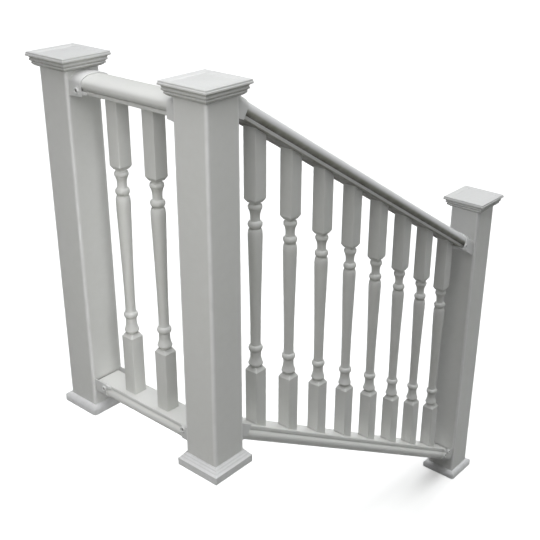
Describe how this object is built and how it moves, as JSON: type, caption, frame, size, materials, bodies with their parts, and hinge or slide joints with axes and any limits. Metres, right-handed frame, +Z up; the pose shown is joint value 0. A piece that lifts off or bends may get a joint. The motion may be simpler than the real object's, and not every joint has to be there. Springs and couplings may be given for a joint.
{
  "type": "stair railing",
  "caption": "White vinyl porch railing with turned balusters: a level bay and a stair bay meeting at a square corner post with moulded caps.",
  "frame": {"origin": "middle of the corner post's foot, on the underside of its anchor plate", "axes": "+X runs level along the stair bay from the corner post to the lower post, +Y runs along the level bay from the corner post to the upper post, +Z up"},
  "size_m": [1.3854, 0.6034, 1.6831],
  "materials": {
    "vinyl": "satin extruded white vinyl",
    "vinyl_trim": "satin moulded white vinyl",
    "anchor_metal": "cast, matte"
  },
  "bodies": {
    "root": {"post_upper": "vinyl", "post_corner": "vinyl", "post_lower": "vinyl", "cap_upper": "vinyl_trim", "cap_corner": "vinyl_trim", "cap_lower": "vinyl_trim", "base_trim_upper": "vinyl_trim", "base_trim_corner": "vinyl_trim", "base_trim_lower": "vinyl_trim", "anchor_upper": "anchor_metal", "anchor_corner": "anchor_metal", "anchor_lower": "anchor_metal", "level_top_rail": "vinyl", "level_bottom_rail": "vinyl", "stair_top_rail": "vinyl", "stair_bottom_rail": "vinyl", "bracket_level_top_upper": "vinyl_trim", "bracket_level_top_corner": "vinyl_trim", "bracket_level_bottom_upper": "vinyl_trim", "bracket_level_bottom_corner": "vinyl_trim", "bracket_stair_top_corner": "vinyl_trim", "bracket_stair_top_lower": "vinyl_trim", "bracket_stair_bottom_corner": "vinyl_trim", "bracket_stair_bottom_lower": "vinyl_trim", "level_baluster_1": "vinyl", "level_baluster_2": "vinyl", "stair_baluster_1": "vinyl", "stair_baluster_2": "vinyl", "stair_baluster_3": "vinyl", "stair_baluster_4": "vinyl", "stair_baluster_5": "vinyl", "stair_baluster_6": "vinyl", "stair_baluster_7": "vinyl", "stair_baluster_8": "vinyl"}
  },
  "joints": []
}
